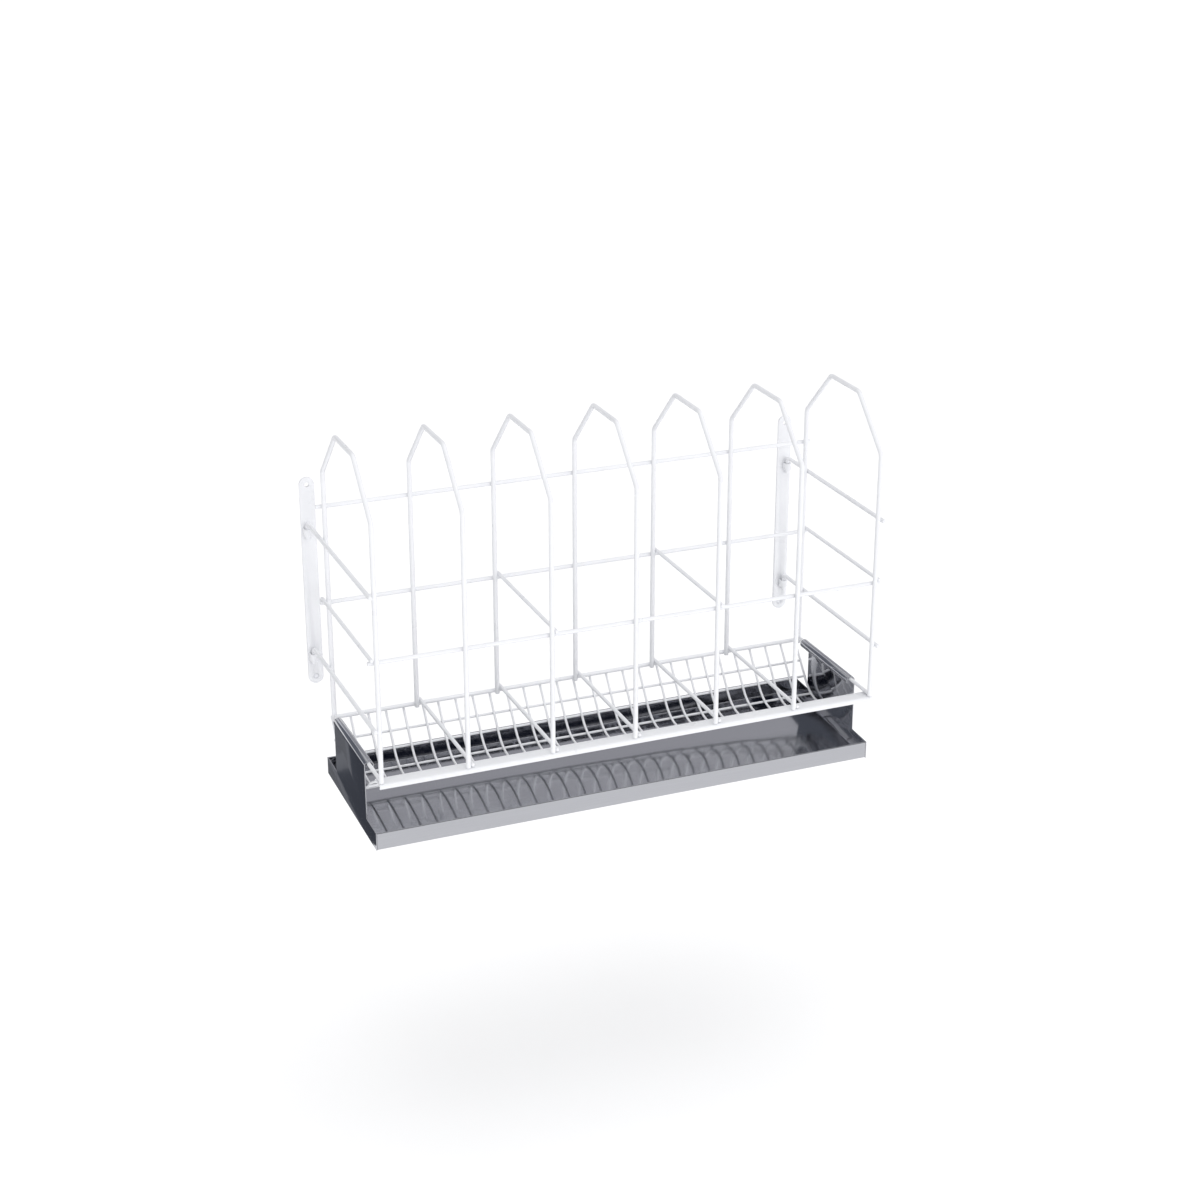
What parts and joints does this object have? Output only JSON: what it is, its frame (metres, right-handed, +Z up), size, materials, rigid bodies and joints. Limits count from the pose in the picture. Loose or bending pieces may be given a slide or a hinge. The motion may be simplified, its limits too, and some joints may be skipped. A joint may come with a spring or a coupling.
{
  "type": "wall-hung dish drying rack",
  "caption": "Wall-hung wire dish rack with bent-wire plate dividers, a fine wire basket floor and a stainless drip tray that slides on side runners.",
  "frame": {"origin": "on the wall plane, midway between the two wall strips, at the height of the rack's bottom rails", "axes": "+Z up, +Y into the wall, +X to the right as seen from the room"},
  "size_m": [0.561, 0.228, 0.403],
  "materials": {
    "white_coating": "smooth white plastic coating on steel wire",
    "strip_coating": "white powder coat on flat steel strip",
    "stainless_sheet": "bright stainless sheet, finely brushed outside"
  },
  "bodies": {
    "wall_strips": {"wall_strip_left": "strip_coating", "wall_strip_right": "strip_coating"},
    "wire_rack": {"hoop_1": "white_coating", "hoop_2": "white_coating", "hoop_3": "white_coating", "hoop_4": "white_coating", "hoop_5": "white_coating", "hoop_6": "white_coating", "hoop_7": "white_coating", "rear_top_rail": "white_coating", "rear_middle_rail": "white_coating", "front_middle_rail": "white_coating", "rear_bottom_rail": "white_coating", "front_bottom_channel": "white_coating", "middle_tie_1": "white_coating", "middle_tie_3": "white_coating", "middle_tie_5": "white_coating", "middle_tie_7": "white_coating", "floor_cross_wire_2": "white_coating", "floor_cross_wire_3": "white_coating", "floor_cross_wire_4": "white_coating", "floor_cross_wire_5": "white_coating", "floor_cross_wire_6": "white_coating", "basket_wire_1": "white_coating", "basket_wire_2": "white_coating", "basket_wire_3": "white_coating", "basket_wire_4": "white_coating", "basket_wire_5": "white_coating", "basket_wire_6": "white_coating", "basket_wire_7": "white_coating", "basket_wire_8": "white_coating", "basket_wire_9": "white_coating", "basket_wire_10": "white_coating", "basket_wire_11": "white_coating", "basket_wire_12": "white_coating", "basket_wire_13": "white_coating", "basket_wire_14": "white_coating", "basket_wire_15": "white_coating", "basket_wire_16": "white_coating", "basket_wire_17": "white_coating", "basket_wire_18": "white_coating", "basket_wire_19": "white_coating", "basket_wire_20": "white_coating", "basket_wire_21": "white_coating", "basket_wire_22": "white_coating", "basket_wire_23": "white_coating", "basket_wire_24": "white_coating", "basket_wire_25": "white_coating", "basket_wire_26": "white_coating", "basket_wire_27": "white_coating", "basket_ladder": "white_coating", "tray_runner_left": "white_coating", "tray_runner_right": "white_coating", "wall_arm_upper_left": "white_coating", "wall_arm_lower_left": "white_coating", "wall_arm_upper_right": "white_coating", "wall_arm_lower_right": "white_coating"},
    "drip_tray": {"tray_cheek_left": "stainless_sheet", "tray_cheek_right": "stainless_sheet", "drip_pan": "stainless_sheet"}
  },
  "joints": [
    {"name": "rack_lift", "type": "slide", "parent": "wall_strips", "child": "wire_rack", "axis": [0, 0, 1], "range_m": [0, 0.016]},
    {"name": "tray_slide", "type": "slide", "parent": "wire_rack", "child": "drip_tray", "axis": [0, -1, 0], "range_m": [-0.009, 0.025]}
  ]
}
